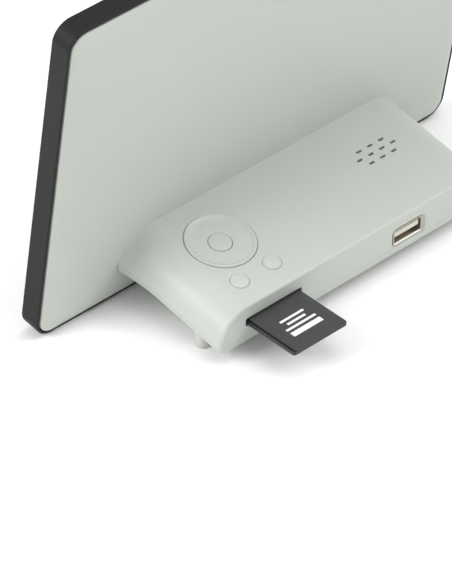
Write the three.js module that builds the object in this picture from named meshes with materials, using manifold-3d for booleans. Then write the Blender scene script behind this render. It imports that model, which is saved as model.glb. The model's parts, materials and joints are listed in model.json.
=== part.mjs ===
// Digital photo frame: a screen panel that leans back on a shallow control housing,
// with a memory card standing part way out of its slot.
// Millimetres. X runs to the right as seen from the screen side, Y to the back and Z up.

import * as THREE from 'three';
import { mergeVertices } from 'three/addons/utils/BufferGeometryUtils.js';
import Module from 'manifold-3d';

const wasm = await Module();
wasm.setup();

// Panel
const lean = THREE.MathUtils.degToRad(8.6);
const panelWidth = 188;
const panelHeight = 132;
const bezelDepth = 8;
const bezelCorner = 7;
const bezelWall = 1.8;
const bezelFace = 1.8;
const bezelLip = 0.9;
const lipDepth = 1.4;
const screenWidth = 154;
const screenHeight = 87;
const screenMargin = 0.5;
const coverRise = 1;
const coverRound = 2.2;
const coverThickness = 1.8;
const coverRim = 5;

// Screen module
const glassBorder = 4.5;
const glassThickness = 1.2;
const guideThickness = 1.4;
const trayFloor = 0.4;
const trayWall = 0.6;
const railThickness = 0.6;
const railOverlap = 6;
const railTab = 6.5;
const railDrop = 1.6;
const railScrewPitch = 76;
const cableWidth = 22;
const cableThickness = 0.3;
const cableHeight = 8;
const cableMargin = 2;
const cableWindow = 7.6;
const cableRise = 14;
const cableBend = 2;
const cableSag = 1.2;
const cableTurn = 3.2;
const cableEnd = 0.5;
const cableEndHeight = 1.2;

// Control housing
const slope = THREE.MathUtils.degToRad(10.2);
const baseLength = 125;
const baseOffset = -3.6;
const baseDepth = 47.2;
const baseTop = 27.2;
const baseThickness = 14.8;
const baseShoulder = 13.5;
const baseChamfer = 1.2;
const baseWall = 1.8;
const baseFloor = 1.2;
const seamHeight = 3.3;
const bossRadius = 2.6;
const postRadius = 2.2;
const pillarDrop = 1;
const bossInset = 6;
const bossFront = 6.5;
const bossRear = 27;
const footRadius = 2.7;
const footRound = 0.5;
const footInset = 4.5;
const footFromBack = 13;
const padHeight = 0.7;
const padLength = 14;
const padInset = 9;

// Controls: the keys are measured from the housing's back edge, and the ring's rim from its right end
// and from the keys
const ringToEnd = 12.8;
const ringToKeys = 4.1;
const ringRadius = 12.2;
const ringFlange = 0.9;
const ringHole = 4.7;
const ringCrest = 0.4;
const ringCrown = 0.15;
const ringSlope = 3;
const ringLip = 0.5;
const ringLipRise = 0.05;
const ringLipDrop = 0.3;
const ringUndercut = 1.5;
const ringSkirt = 1;
const okRadius = 4.3;
const okFlange = 1.3;
const okRound = 0.5;
const okLift = 0.1;
const keyRadius = 3.25;
const keyFlange = 0.75;
const keyRound = 0.7;
const keyEdge = 0.1;
const keyCrown = 0.2;
const keySpacing = 14.5;
const keyFromBack = 9.9;
const keyProud = 0.6;
const flangeThickness = 0.6;
const pressGap = 0.6;
const switchFromRim = 3.6;
const switchSize = 4.5;
const switchBody = 0.5;
const switchStem = 0.3;
const switchStemRadius = 1.1;
const keyBoardThickness = 0.6;
const keyBoardMargin = 2.3;
const keyBoardScrewOut = 0.3;
const keyBoardScrewIn = 1.1;
const keyBoardEdge = 0.6;
const keyBoardFront = 1;

// Speaker, measured from the housing's left end and back edge
const speakerFromEnd = 28;
const speakerFromBack = 27.5;
const speakerRadius = 9;
const speakerDepth = 3.6;
const magnetHeight = 1.7;
const magnetRadius = 0.55 * speakerRadius;
const yokeRadius = 0.6 * speakerRadius;
const basketRim = 0.8;
const basketWall = 0.6;
const basketSeat = 0.1;
const gasketWidth = 1.5;
const coneRadius = speakerRadius - 1.8;
const coneNeck = 0.42 * speakerRadius;
const coneLift = 2.1;
const coneThickness = 0.4;
const coneDome = 0.3;
const gasketThickness = 0.5;
const leadRadius = 0.5;
const leadSpacing = 1.6;
const leadOffset = 4;
const leadToConnector = 6;
// The leads' route: share of the way to the connector's side, steps forward, and heights above the board.
const leadRoute = [[0, 0, 3.2], [3 / 12, 0, 2.6], [7 / 12, -2, 1], [1, -4, 0.8]];
const slotLength = 3;
const slotWidth = 1.1;
const slotPitch = 5.14;
const slotRowPitch = 3.2;

// Board and sockets, level with the table
const cardWidth = 24;
const cardLength = 32;
const cardThickness = 2.1;
const cardRail = 0.75;
const cardStep = 0.7;
const cardOut = 22;
const cardCorner = 4;
const cardSeat = 2.5;
const cardToEnd = 12;
const cardBelowTop = 5.6;
const cardClearance = 0.25;
const slotClearance = 0.45;
const socketSheet = 0.25;
const boardThickness = 0.8;
const boardInset = 10;
const boardBackGap = 0.6;
const boardDepth = 37;
const boardScrewInset = 4.5;
const boardScrewLength = 4.5;
const boardScrewToUsb = 6.45;
const boardScrewToCard = 8;
const boardScrewToKeyBoard = 3;
const cableToBoardScrew = 2.2;
const socketWall = 1.2;
const socketStop = 1;
const cardRound = 1;
const connectorFromFront = 5;
const connectorFront = 2.5;
const connectorRear = 1.5;
const connectorMargin = 1;
const connectorHeight = 1.7;
// Chips: distance left of the object's middle, distance from the board's back edge, sizes, height.
const chips = [
  ['main_chip', 2, 18, 14, 14, 1.4],
  ['memory_chip', 20, 21, 8, 12, 1.1],
  ['power_coil', 36, 7, 6, 6, 1.8],
];
const usbFromEnd = 39;
const usbBelowTop = 8.1;
const usbWidth = 13.1;
const usbHeight = 5.7;
const usbLength = 13.5;
const usbSheet = 0.3;
const usbTongueWidth = 11;
const usbTongueThickness = 1.8;
const usbTongueLength = 9.6;
const usbTongueDrop = 0.9;
const usbBlock = 3;
const usbTaper = 0.87;
const usbRecess = 1.2;
const usbRecessDepth = 1;
const jackFromBack = 11;
const jackSetback = 2.5;
const jackWidth = 7;
const jackLength = 12;
const jackHeight = 5.2;
const jackBore = 1.8;
const jackPin = 0.65;
const jackRim = 1;
const jackBoreShare = 0.75;
const jackPinSetback = 1;

// Fasteners and fits
const gap = 0.3;
const fine = 0.2;
const screwShank = 0.8;
const screwHead = 1.8;
const screwHeadHeight = 1;
const screwCrown = 0.7;
const screwEdge = 0.4;
const pilotDepth = 5;
const baseScrewLength = seamHeight + 2;
const cutReach = 1;
const pilot = screwShank + fine;

// Places worked out from the sizes above
const baseBottom = baseTop - baseThickness;
const shoulder = Math.min(baseShoulder, baseThickness - baseChamfer);
const seam = baseBottom + seamHeight;
const baseRight = baseOffset + baseLength / 2;
const baseLeft = baseOffset - baseLength / 2;
const junctionY = -baseDepth * Math.cos(slope);
const junctionZ = padHeight + baseTop * Math.cos(lean);
const backEdge = junctionZ - baseDepth * Math.sin(slope);
const plateBack = coverRise + baseThickness * Math.tan(slope - lean);
const cardTop = backEdge - cardBelowTop;
const cardX = baseRight - cardToEnd - cardWidth / 2;
const ringX = baseRight - ringToEnd - ringRadius;
const keyY = baseDepth - keyFromBack;
const ringY = keyY - ringToKeys - ringFlange - ringRadius;
const switchReach = ringRadius - switchFromRim;
const keyBoardLeft = ringX - ringRadius - keyBoardMargin;
const frontScrewX = keyBoardLeft - boardScrewToKeyBoard;
const besideCardX = cardX - cardWidth / 2 - boardScrewToCard;
const besideKeyBoardX = keyBoardLeft - postRadius - keyBoardEdge;
const connectorHalf = cableWidth / 2 + connectorMargin;
const cableX = frontScrewX - postRadius - cableToBoardScrew - connectorHalf;
const speakerX = baseLeft + speakerFromEnd;
const speakerY = baseDepth - speakerFromBack;
const usbX = baseLeft + usbFromEnd;
const usbZ = backEdge - usbBelowTop;
const innerTop = baseTop - baseWall;
const flangeTop = innerTop - gap;
const stemTop = flangeTop - flangeThickness - pressGap;
const keyBoardTop = stemTop - switchStem - switchBody - fine;
const socketTop = cardTop + cardClearance + socketSheet;
const boardBottom = socketTop + fine;
const boardTop = boardBottom + boardThickness;
const boardBack = -baseWall - boardBackGap;
const screenCentre = panelHeight / 2;
const glassRear = -bezelDepth + bezelFace + gap + glassThickness;
const guideRear = glassRear + gap + guideThickness;
const trayRear = guideRear + gap + trayFloor;
const railTabFront = trayRear + gap - railDrop;
const trayHalfWidth = screenWidth / 2 + glassBorder + gap + trayWall;
const trayHalfHeight = screenHeight / 2 + glassBorder + gap + trayWall;
const cableZ = baseBottom + cableHeight;
const jackZ = boardBottom - gap - jackHeight / 2;
const keyBoardScrews = [
  [ringX - ringRadius - keyBoardScrewOut, ringY - ringRadius + keyBoardScrewIn],
  [ringX + ringRadius + keyBoardScrewOut, ringY - ringRadius + keyBoardScrewIn],
];
const boardScrews = [
  [usbX + usbWidth / 2 + boardScrewToUsb, boardBack - boardScrewInset],
  [Math.min(besideCardX, besideKeyBoardX), boardBack - boardScrewInset],
  [frontScrewX, boardBack - boardDepth + boardScrewInset],
];

// The sloping group holds the housing, and in it the panel group leans about the line where they meet.
// The level group holds the main board, its sockets and the feet.
const slopingFrame = new THREE.Matrix4().makeRotationX(-slope).setPosition(
  0, junctionY - baseTop * Math.sin(slope), junctionZ - baseTop * Math.cos(slope));
const panelInSloping = new THREE.Matrix4().makeTranslation(0, 0, baseTop)
  .multiply(new THREE.Matrix4().makeRotationX(slope - lean))
  .multiply(new THREE.Matrix4().makeTranslation(0, 0, -baseTop));
const panelFrame = slopingFrame.clone().multiply(panelInSloping);
const levelInSloping = slopingFrame.clone().invert();
const levelInPanel = panelFrame.clone().invert();
const far = 400;
const below = -100;

const paleShell = { color: 0xbec4bc, roughness: 0.5, metalness: 0 };
const darkShell = { color: 0x424242, roughness: 0.45, metalness: 0 };
const keyPlastic = { color: 0xc6cac4, roughness: 0.4, metalness: 0 };
const steel = { color: 0xb8babc, roughness: 0.35, metalness: 1 };
const nickel = { color: 0xc9c2ae, roughness: 0.3, metalness: 1 };
const zincSteel = { color: 0x9ea2a6, roughness: 0.4, metalness: 1 };
const screenGlass = { color: 0x101214, roughness: 0.1, metalness: 0 };
const acrylic = { color: 0xe8ecec, roughness: 0.15, metalness: 0 };
const greenBoard = { color: 0x1f5a38, roughness: 0.45, metalness: 0 };
const blackPlastic = { color: 0x1c1c1e, roughness: 0.5, metalness: 0 };
const redPlastic = { color: 0xa02018, roughness: 0.5, metalness: 0 };
const beigePlastic = { color: 0xd8cdb0, roughness: 0.5, metalness: 0 };
const cardPlastic = { color: 0x3c3c3f, roughness: 0.5, metalness: 0 };
const footRubber = { color: 0xa9aaa6, roughness: 0.8, metalness: 0 };
const foam = { color: 0x2a2a2a, roughness: 0.95, metalness: 0 };
const paperCone = { color: 0x26241f, roughness: 0.9, metalness: 0 };
const ribbonFilm = { color: 0xc2c6c8, roughness: 0.4, metalness: 0 };

// A closed geometry becomes a solid that can be joined and cut.
function toSolid(geometry) {
  const bare = geometry.clone();
  bare.deleteAttribute('normal');
  bare.deleteAttribute('uv');
  const merged = mergeVertices(bare, 1e-4);
  const vertProperties = new Float32Array(merged.attributes.position.array);
  const triVerts = new Uint32Array(merged.index.array);
  return new wasm.Manifold(new wasm.Mesh({ numProp: 3, vertProperties, triVerts }));
}

function toGeometry(solid) {
  const { vertProperties, triVerts } = solid.getMesh();
  const geometry = new THREE.BufferGeometry();
  geometry.setAttribute('position', new THREE.BufferAttribute(vertProperties, 3));
  geometry.setIndex(new THREE.BufferAttribute(triVerts, 1));
  geometry.computeVertexNormals();
  return geometry;
}

function addPiece(group, name, solid, look) {
  const mesh = new THREE.Mesh(toGeometry(solid), new THREE.MeshStandardMaterial(look));
  mesh.name = name;
  group.add(mesh);
}

function block(x0, x1, y0, y1, z0, z1) {
  const geometry = new THREE.BoxGeometry(x1 - x0, y1 - y0, z1 - z0);
  return toSolid(geometry.translate((x0 + x1) / 2, (y0 + y1) / 2, (z0 + z1) / 2));
}

function roundRod(radius, x, y, z0, z1, sides = 20) {
  const geometry = new THREE.CylinderGeometry(radius, radius, z1 - z0, sides);
  return toSolid(geometry.rotateX(Math.PI / 2).translate(x, y, (z0 + z1) / 2));
}

// A profile of (radius, height) pairs turned about an upright axis.
function turned(profile, x, y, sides = 24) {
  const points = profile.map(([radius, height]) => new THREE.Vector2(radius, height));
  return toSolid(new THREE.LatheGeometry(points, sides).rotateX(Math.PI / 2).translate(x, y, 0));
}

// An outline drawn in (x, z), carried from y0 to y1.
function alongY(shape, y0, y1, curveSegments = 4) {
  const geometry = new THREE.ExtrudeGeometry(shape, { depth: y1 - y0, bevelEnabled: false, curveSegments });
  return toSolid(geometry.rotateX(Math.PI / 2).translate(0, y1, 0));
}

// An outline drawn in (x, y), carried from z0 to z1.
function alongZ(shape, z0, z1, curveSegments = 4) {
  const geometry = new THREE.ExtrudeGeometry(shape, { depth: z1 - z0, bevelEnabled: false, curveSegments });
  return toSolid(geometry.translate(0, 0, z0));
}

// An outline drawn in (y, z), carried from x0 to x1.
function alongX(shape, x0, x1) {
  const geometry = new THREE.ExtrudeGeometry(shape, { depth: x1 - x0, bevelEnabled: false });
  geometry.rotateX(Math.PI / 2).rotateZ(Math.PI / 2);
  return toSolid(geometry.translate(x0, 0, 0));
}

function outline(points) {
  return new THREE.Shape(points.map(([a, b]) => new THREE.Vector2(a, b)));
}

function roundedRectangle(width, height, radius, centreX = 0, centreZ = 0) {
  const x = centreX - width / 2;
  const z = centreZ - height / 2;
  const shape = new THREE.Shape();
  shape.moveTo(x + radius, z);
  shape.absarc(x + width - radius, z + radius, radius, -Math.PI / 2, 0);
  shape.absarc(x + width - radius, z + height - radius, radius, 0, Math.PI / 2);
  shape.absarc(x + radius, z + height - radius, radius, Math.PI / 2, Math.PI);
  shape.absarc(x + radius, z + radius, radius, Math.PI, Math.PI * 1.5);
  return shape;
}

function frameShape(inset) {
  const radius = bezelCorner - inset;
  return roundedRectangle(panelWidth - 2 * inset, panelHeight - 2 * inset, radius, 0, panelHeight / 2);
}

// A level solid, seen from the sloping group.
function inSloping(solid) {
  return solid.transform(levelInSloping.elements);
}

// The housing's section: a flat top that rolls over large shoulders into short sides.
function housingSection(inset, bottom) {
  const left = baseLeft + inset;
  const right = baseRight - inset;
  const top = baseTop - inset;
  const radius = shoulder - inset;
  const cut = inset === 0 ? baseChamfer : 0;
  const shape = new THREE.Shape();
  shape.moveTo(left + cut, bottom);
  shape.lineTo(right - cut, bottom);
  shape.lineTo(right, bottom + cut);
  shape.absarc(right - radius, top - radius, radius, 0, Math.PI / 2);
  shape.absarc(left + radius, top - radius, radius, Math.PI / 2, Math.PI);
  shape.lineTo(left, bottom + cut);
  return shape;
}

// A housing-shaped prism behind the panel, cut off upright at the given distance from the back face.
function housingPrism(inset, bottom, front, fromBack) {
  const behind = inSloping(block(-far, far, -fromBack, far, -far, far));
  return alongY(housingSection(inset, bottom), front, baseDepth * 1.5, 6).subtract(behind);
}

// Self-tapping screw with a pan head, pointing up the Z axis from its head.
function screw(x, y, headBottom, length) {
  const headTop = headBottom + screwHeadHeight;
  const tip = headTop + length;
  const profile = [
    [0, headBottom],
    [screwHead * screwCrown, headBottom],
    [screwHead, headBottom + screwHeadHeight * screwEdge],
    [screwHead, headTop],
    [screwShank, headTop],
    [screwShank, tip - screwShank],
    [0, tip],
  ];
  return turned(profile, x, y, 12);
}

const sloping = new THREE.Group();
sloping.applyMatrix4(slopingFrame);
const panel = new THREE.Group();
panel.applyMatrix4(panelInSloping);
sloping.add(panel);
const level = new THREE.Group();

// Front bezel: a dark moulded tray with a window, a lip for the rear cover and four screw posts.
function makeBezel() {
  const faceRear = -bezelDepth + bezelFace;
  const window = roundedRectangle(
    screenWidth + 2 * screenMargin, screenHeight + 2 * screenMargin, 1, 0, screenCentre);
  let bezel = alongY(frameShape(0), -bezelDepth, 0, 5);
  bezel = bezel.subtract(alongY(frameShape(bezelWall), faceRear, far, 5));
  bezel = bezel.subtract(alongY(frameShape(bezelLip), -lipDepth, far, 5));
  bezel = bezel.subtract(alongY(window, -far, far, 2));
  for (const [x, z] of railScrews()) {
    const post = roundRod(bossRadius, 0, 0, faceRear - fine, railTabFront - gap);
    const hole = roundRod(pilot, 0, 0, faceRear - bezelFace / 3, far);
    bezel = bezel.add(stoodOnFace(post, x, z)).subtract(stoodOnFace(hole, x, z));
  }
  return bezel;
}

// Screws and posts drawn up the Z axis, turned to point out of the panel's back.
function stoodOnFace(solid, x, z) {
  return solid.rotate([-90, 0, 0]).translate([x, 0, z]);
}

function railScrews() {
  const x = trayHalfWidth + railThickness + gap + railTab / 2;
  const places = [];
  for (const side of [-1, 1]) {
    for (const end of [-1, 1]) {
      places.push([side * x, screenCentre + end * railScrewPitch / 2]);
    }
  }
  return places;
}

// Screen module: glass, light guide, and a pressed-steel tray round both.
function makeScreen() {
  const glassHalfWidth = screenWidth / 2 + glassBorder;
  const glassHalfHeight = screenHeight / 2 + glassBorder;
  const slab = (halfWidth, halfHeight, front, rear) =>
    block(-halfWidth, halfWidth, front, rear, screenCentre - halfHeight, screenCentre + halfHeight);
  const frontY = glassRear - glassThickness;
  const tray = slab(trayHalfWidth, trayHalfHeight, frontY, trayRear)
    .subtract(slab(glassHalfWidth + gap, glassHalfHeight + gap, frontY - far, trayRear - trayFloor));
  addPiece(panel, 'lcd_glass', slab(glassHalfWidth, glassHalfHeight, frontY, glassRear), screenGlass);
  addPiece(panel, 'light_guide', slab(glassHalfWidth, glassHalfHeight, glassRear + gap, guideRear), acrylic);
  addPiece(panel, 'backlight_tray', tray, zincSteel);
}

// Two pressed-steel rails hold the screen module against the bezel.
function makeRails() {
  const railFront = trayRear + gap;
  const railRear = railFront + railThickness;
  const inner = trayHalfWidth - railOverlap;
  const leg = trayHalfWidth + gap;
  const outer = leg + railThickness + railTab;
  const tabRear = railTabFront + railThickness;
  const half = trayHalfHeight - gap;
  for (const [side, name] of [[-1, 'left'], [1, 'right']]) {
    const section = outline([
      [inner, railFront], [leg, railFront], [leg, railTabFront], [outer, railTabFront],
      [outer, tabRear], [leg + railThickness, tabRear], [leg + railThickness, railRear], [inner, railRear],
    ]);
    let rail = alongZ(section, screenCentre - half, screenCentre + half);
    if (side < 0) rail = rail.mirror([1, 0, 0]);
    for (const [x, z] of railScrews()) {
      rail = rail.subtract(stoodOnFace(roundRod(pilot + fine, 0, 0, -far, far), x, z));
    }
    addPiece(panel, `screen_rail_${name}`, rail, zincSteel);
  }
  railScrews().forEach(([x, z], index) => {
    const shankLength = bezelDepth - bezelFace + tabRear + gap;
    const upsideDown = screw(0, 0, 0, shankLength).mirror([0, 0, 1]);
    const headTop = tabRear + gap + screwHeadHeight;
    const placed = stoodOnFace(upsideDown.translate([0, 0, headTop]), x, z);
    addPiece(panel, `rail_screw_${index + 1}`, placed, steel);
  });
}

// Places of the screws that close the housing from below.
function housingScrews() {
  const left = baseLeft + bossInset;
  const right = baseRight - bossInset;
  return [[left, bossFront], [right, bossFront], [left, bossRear], [right, bossRear]];
}

// Level cuts through the housing's walls for the card, the plug sockets and the power jack.
function housingOpenings() {
  const cardSlot = block(
    cardX - cardWidth / 2 - slotClearance, cardX + cardWidth / 2 + slotClearance,
    -baseWall * 2, baseWall, cardTop - cardThickness - slotClearance, cardTop + slotClearance);
  const usbHole = block(
    usbX - usbWidth / 2 - gap, usbX + usbWidth / 2 + gap, -baseWall * 2, baseWall,
    usbZ - usbHeight / 2 - gap, usbZ + usbHeight / 2 + gap);
  const mouth = new THREE.CylinderGeometry(Math.SQRT1_2, Math.SQRT1_2 * usbTaper, 2 * usbRecessDepth, 4);
  mouth.rotateY(Math.PI / 4).scale(usbWidth + 2 * usbRecess + gap, 1, usbHeight + 2 * usbRecess + gap);
  const recess = toSolid(mouth.translate(usbX, 0, usbZ));
  const boreLength = 2 * baseWall + jackSetback;
  const bore = new THREE.CylinderGeometry(jackBore + jackRim, jackBore + jackRim, boreLength, 20);
  bore.rotateZ(Math.PI / 2).translate(baseLeft, -jackFromBack, jackZ);
  return inSloping(cardSlot.add(usbHole).add(recess).add(toSolid(bore)));
}

// Holes in the top face: the direction ring, two keys and the speaker slots.
function topOpenings() {
  let holes = roundRod(ringRadius + gap, ringX, ringY, innerTop - cutReach, baseTop + cutReach, 40);
  for (const side of [-1, 1]) {
    holes = holes.add(
      roundRod(keyRadius + gap, ringX + side * keySpacing / 2, keyY,
        innerTop - cutReach, baseTop + cutReach, 24));
  }
  const rows = [[1, 3], [0, 4], [-1, 3]];
  for (const [row, count] of rows) {
    for (let index = 0; index < count; index += 1) {
      const x = speakerX + (index - (count - 1) / 2) * slotPitch;
      const slot = new THREE.Shape();
      slot.absarc(x + (slotLength - slotWidth) / 2, speakerY + row * slotRowPitch,
        slotWidth / 2, -Math.PI / 2, Math.PI / 2);
      slot.absarc(x - (slotLength - slotWidth) / 2, speakerY + row * slotRowPitch,
        slotWidth / 2, Math.PI / 2, Math.PI * 1.5);
      holes = holes.add(alongZ(slot, innerTop - cutReach, baseTop + cutReach, 2));
    }
  }
  return holes;
}

// Rear cover: the panel's pillowed back and the housing's upper shell, moulded as one.
function makeRearCover() {
  const plateFront = -lipDepth + gap;
  const inset = bezelLip + gap;
  const plateGeometry = new THREE.ExtrudeGeometry(frameShape(inset), {
    depth: -plateFront,
    bevelThickness: coverRise,
    bevelSize: coverRound,
    bevelOffset: -coverRound,
    bevelSegments: 3,
    curveSegments: 5,
  });
  let plate = toSolid(plateGeometry.rotateX(Math.PI / 2));
  plate = plate.subtract(block(-far, far, -far, plateFront, -far, far));
  plate = plate.add(alongY(frameShape(inset), plateFront, 0, 5));
  const pocketShape = roundedRectangle(
    panelWidth - 2 * (inset + coverRim), panelHeight - 2 * (inset + coverRim), 3, 0, panelHeight / 2);
  plate = plate.subtract(alongY(pocketShape, -far, coverRise - coverThickness, 2));

  const above = block(-far, far, -far, far, seam, far);
  const shell = housingPrism(0, baseBottom, 0, 0).intersect(above);
  const cavity = housingPrism(baseWall, below, plateBack, baseWall);
  let cover = plate.transform(panelInSloping.elements).add(shell).subtract(cavity);

  for (const [x, y] of housingScrews()) {
    cover = cover.add(roundRod(bossRadius, x, y, seam - pillarDrop, baseTop).intersect(shell));
  }
  for (const [x, y] of keyBoardScrews) {
    cover = cover.add(roundRod(postRadius, x, y, keyBoardTop + gap, innerTop + fine));
  }
  const boardPosts = boardScrews.map(([x, y]) =>
    inSloping(roundRod(postRadius, x, y, boardTop + gap, far)).intersect(shell));
  for (const post of boardPosts) cover = cover.add(post);

  for (const [x, y] of housingScrews()) {
    cover = cover.subtract(roundRod(pilot, x, y, 0, seam + pilotDepth));
  }
  for (const [x, y] of keyBoardScrews) {
    cover = cover.subtract(roundRod(pilot, x, y, 0, innerTop));
  }
  for (const [x, y] of boardScrews) {
    cover = cover.subtract(inSloping(roundRod(pilot, x, y, 0, boardTop + pilotDepth - cutReach)));
  }
  const window = block(
    cableX - cableWidth / 2 - cableMargin, cableX + cableWidth / 2 + cableMargin, -far, plateBack + gap,
    cableZ - cableWindow / 2, cableZ + cableWindow / 2);
  return cover.subtract(window).subtract(housingOpenings()).subtract(topOpenings());
}

// Base cover: a shallow tray that closes the housing from below, with four counterbored screw holes.
function makeBaseCover() {
  const front = plateBack + gap;
  const underSeam = block(-far, far, -far, far, -far, seam - gap);
  let cover = housingPrism(0, baseBottom, front, 0).intersect(underSeam);
  const aboveFloor = block(-far, far, -far, far, baseBottom + baseFloor, far);
  cover = cover.subtract(housingPrism(baseWall, below, front + baseWall, baseWall).intersect(aboveFloor));
  const pillarTop = seam - pillarDrop - gap;
  for (const [x, y] of housingScrews()) {
    cover = cover.add(roundRod(bossRadius, x, y, baseBottom + baseFloor / 2, pillarTop));
  }
  for (const [x, y] of housingScrews()) {
    cover = cover.subtract(roundRod(pilot + fine, x, y, 0, seam));
    cover = cover.subtract(roundRod(screwHead + gap, x, y, 0, baseBottom + fine + screwHeadHeight + gap));
  }
  return cover.subtract(housingOpenings());
}

// The direction ring rocks, and the keys travel straight down; each has a flange under the top wall.
function makeControls() {
  const ringBottom = flangeTop - fine - flangeThickness;
  const ringProfile = [
    [ringHole + ringUndercut, ringBottom], [ringRadius + ringFlange, ringBottom],
    [ringRadius + ringFlange, flangeTop - fine], [ringRadius, flangeTop - fine],
    [ringRadius, baseTop], [ringRadius - ringCrest, baseTop + ringCrest],
    [ringRadius - ringSlope, baseTop + ringCrown],
    [ringHole + ringLip, baseTop + ringLipRise], [ringHole, baseTop - ringLipDrop],
    [ringHole, ringBottom + ringSkirt], [ringHole + ringUndercut, ringBottom + ringSkirt],
    [ringHole + ringUndercut, ringBottom],
  ];
  addPiece(sloping, 'direction_ring', turned(ringProfile, ringX, ringY, 40), keyPlastic);

  const okBottom = ringBottom + okLift;
  const okProfile = [
    [0, okBottom], [okRadius + okFlange, okBottom], [okRadius + okFlange, okBottom + flangeThickness],
    [okRadius, okBottom + flangeThickness], [okRadius, baseTop + keyEdge],
    [okRadius - okRound, baseTop + keyProud], [0, baseTop + keyProud + keyCrown],
  ];
  addPiece(sloping, 'ok_button', turned(okProfile, ringX, ringY, 28), keyPlastic);

  const keyBottom = flangeTop - flangeThickness;
  const keyProfile = [
    [0, keyBottom], [keyRadius + keyFlange, keyBottom], [keyRadius + keyFlange, flangeTop],
    [keyRadius, flangeTop], [keyRadius, baseTop + keyEdge],
    [keyRadius - keyRound, baseTop + keyProud], [0, baseTop + keyProud + keyCrown],
  ];
  for (const [side, name] of [[-1, 'back_button'], [1, 'menu_button']]) {
    addPiece(sloping, name, turned(keyProfile, ringX + side * keySpacing / 2, keyY, 24), keyPlastic);
  }
}

// Key board: a thin printed board under the top wall that carries one small switch per key.
function makeKeyBoard() {
  const right = ringX + ringRadius + keyBoardMargin;
  const front = ringY - ringRadius - keyBoardFront;
  const rear = keyY + switchSize / 2 + keyBoardEdge;
  let board = block(keyBoardLeft, right, front, rear, keyBoardTop - keyBoardThickness, keyBoardTop);
  for (const [x, y] of keyBoardScrews) {
    board = board.subtract(roundRod(pilot + fine, x, y, 0, far));
  }
  addPiece(sloping, 'key_board', board, greenBoard);
  keyBoardScrews.forEach(([x, y], index) => {
    const headTop = keyBoardTop - keyBoardThickness - fine;
    const shank = innerTop - headTop - cutReach;
    const placed = screw(x, y, headTop - screwHeadHeight, shank);
    addPiece(sloping, `key_board_screw_${index + 1}`, placed, steel);
  });
  const switches = {
    switch_up: [ringX, ringY - switchReach],
    switch_down: [ringX, ringY + switchReach],
    switch_left: [ringX - switchReach, ringY],
    switch_right: [ringX + switchReach, ringY],
    switch_ok: [ringX, ringY],
    switch_back: [ringX - keySpacing / 2, keyY],
    switch_menu: [ringX + keySpacing / 2, keyY],
  };
  const half = switchSize / 2;
  const bottom = keyBoardTop + fine;
  for (const [name, [x, y]] of Object.entries(switches)) {
    const body = block(x - half, x + half, y - half, y + half, bottom, bottom + switchBody);
    addPiece(sloping, name, body.add(roundRod(switchStemRadius, x, y, bottom, stemTop, 12)), blackPlastic);
  }
}

// Speaker: a foam gasket, a paper cone and a steel basket with its magnet, under the slots.
function makeSpeaker() {
  const gasketTop = innerTop - gap;
  const gasketBottom = gasketTop - gasketThickness;
  const rim = gasketBottom - fine;
  const foot = rim - speakerDepth;
  const gasket = roundRod(speakerRadius, speakerX, speakerY, gasketBottom, gasketTop, 28)
    .subtract(roundRod(speakerRadius - gasketWidth, speakerX, speakerY, 0, far, 28));
  const basket = [
    [0, foot], [magnetRadius, foot], [yokeRadius, foot + magnetHeight],
    [speakerRadius, rim - basketRim], [speakerRadius, rim], [speakerRadius - basketWall, rim],
    [speakerRadius - 2 * basketWall, rim - basketRim - basketSeat],
    [yokeRadius - 1.5 * basketWall, foot + magnetHeight], [0, foot + magnetHeight],
  ];
  const cone = [
    [0, foot + coneLift + basketSeat], [coneNeck, foot + coneLift],
    [coneRadius, rim - basketSeat - coneThickness], [coneRadius, rim - basketSeat],
    [coneNeck, foot + coneLift + coneThickness], [0, foot + coneLift + coneThickness + coneDome],
  ];
  addPiece(sloping, 'speaker_gasket', gasket, foam);
  addPiece(sloping, 'speaker_basket', turned(basket, speakerX, speakerY, 28), zincSteel);
  addPiece(sloping, 'speaker_cone', turned(cone, speakerX, speakerY, 28), paperCone);
}

// A band of even thickness along a polyline drawn in (y, z).
function band(points, thickness) {
  const edges = [[], []];
  points.forEach(([y, z], index) => {
    const [y0, z0] = points[Math.max(index - 1, 0)];
    const [y1, z1] = points[Math.min(index + 1, points.length - 1)];
    const length = Math.hypot(y1 - y0, z1 - z0);
    const dy = -(z1 - z0) / length * thickness / 2;
    const dz = (y1 - y0) / length * thickness / 2;
    edges[0].push([y + dy, z + dz]);
    edges[1].push([y - dy, z - dz]);
  });
  return outline([...edges[1], ...edges[0].reverse()]);
}

// A point of the level board, seen from the panel group as (y, z).
function levelPoint(y, z) {
  const point = new THREE.Vector3(0, y, z).applyMatrix4(levelInPanel);
  return [point.y, point.z];
}

// Flat cable from the screen module, through the cover's window, down to its connector.
function makeScreenCable() {
  const behindTray = trayRear + gap + cableThickness / 2;
  const connectorY = boardBack - boardDepth + connectorFromFront;
  const end = levelPoint(connectorY - connectorFront - cableEnd, boardTop + cableEndHeight);
  const bend = coverRise + cableBend;
  const points = [
    [behindTray, cableZ + cableRise], [behindTray, cableZ + cableTurn],
    [behindTray + cableBend / 4, cableZ + cableSag], [behindTray + cableBend * 1.1, cableZ],
    [bend, cableZ - cableSag * 2 / 3], [(bend + end[0]) / 2, cableZ - cableSag * 7 / 6], end,
  ];
  const cable = alongX(band(points, cableThickness), cableX - cableWidth / 2, cableX + cableWidth / 2);
  addPiece(panel, 'screen_cable', cable, ribbonFilm);
  const connector = block(
    cableX - connectorHalf, cableX + connectorHalf, connectorY - connectorFront, connectorY + connectorRear,
    boardTop + fine, boardTop + fine + connectorHeight);
  addPiece(level, 'screen_connector', connector, beigePlastic);
}

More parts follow.
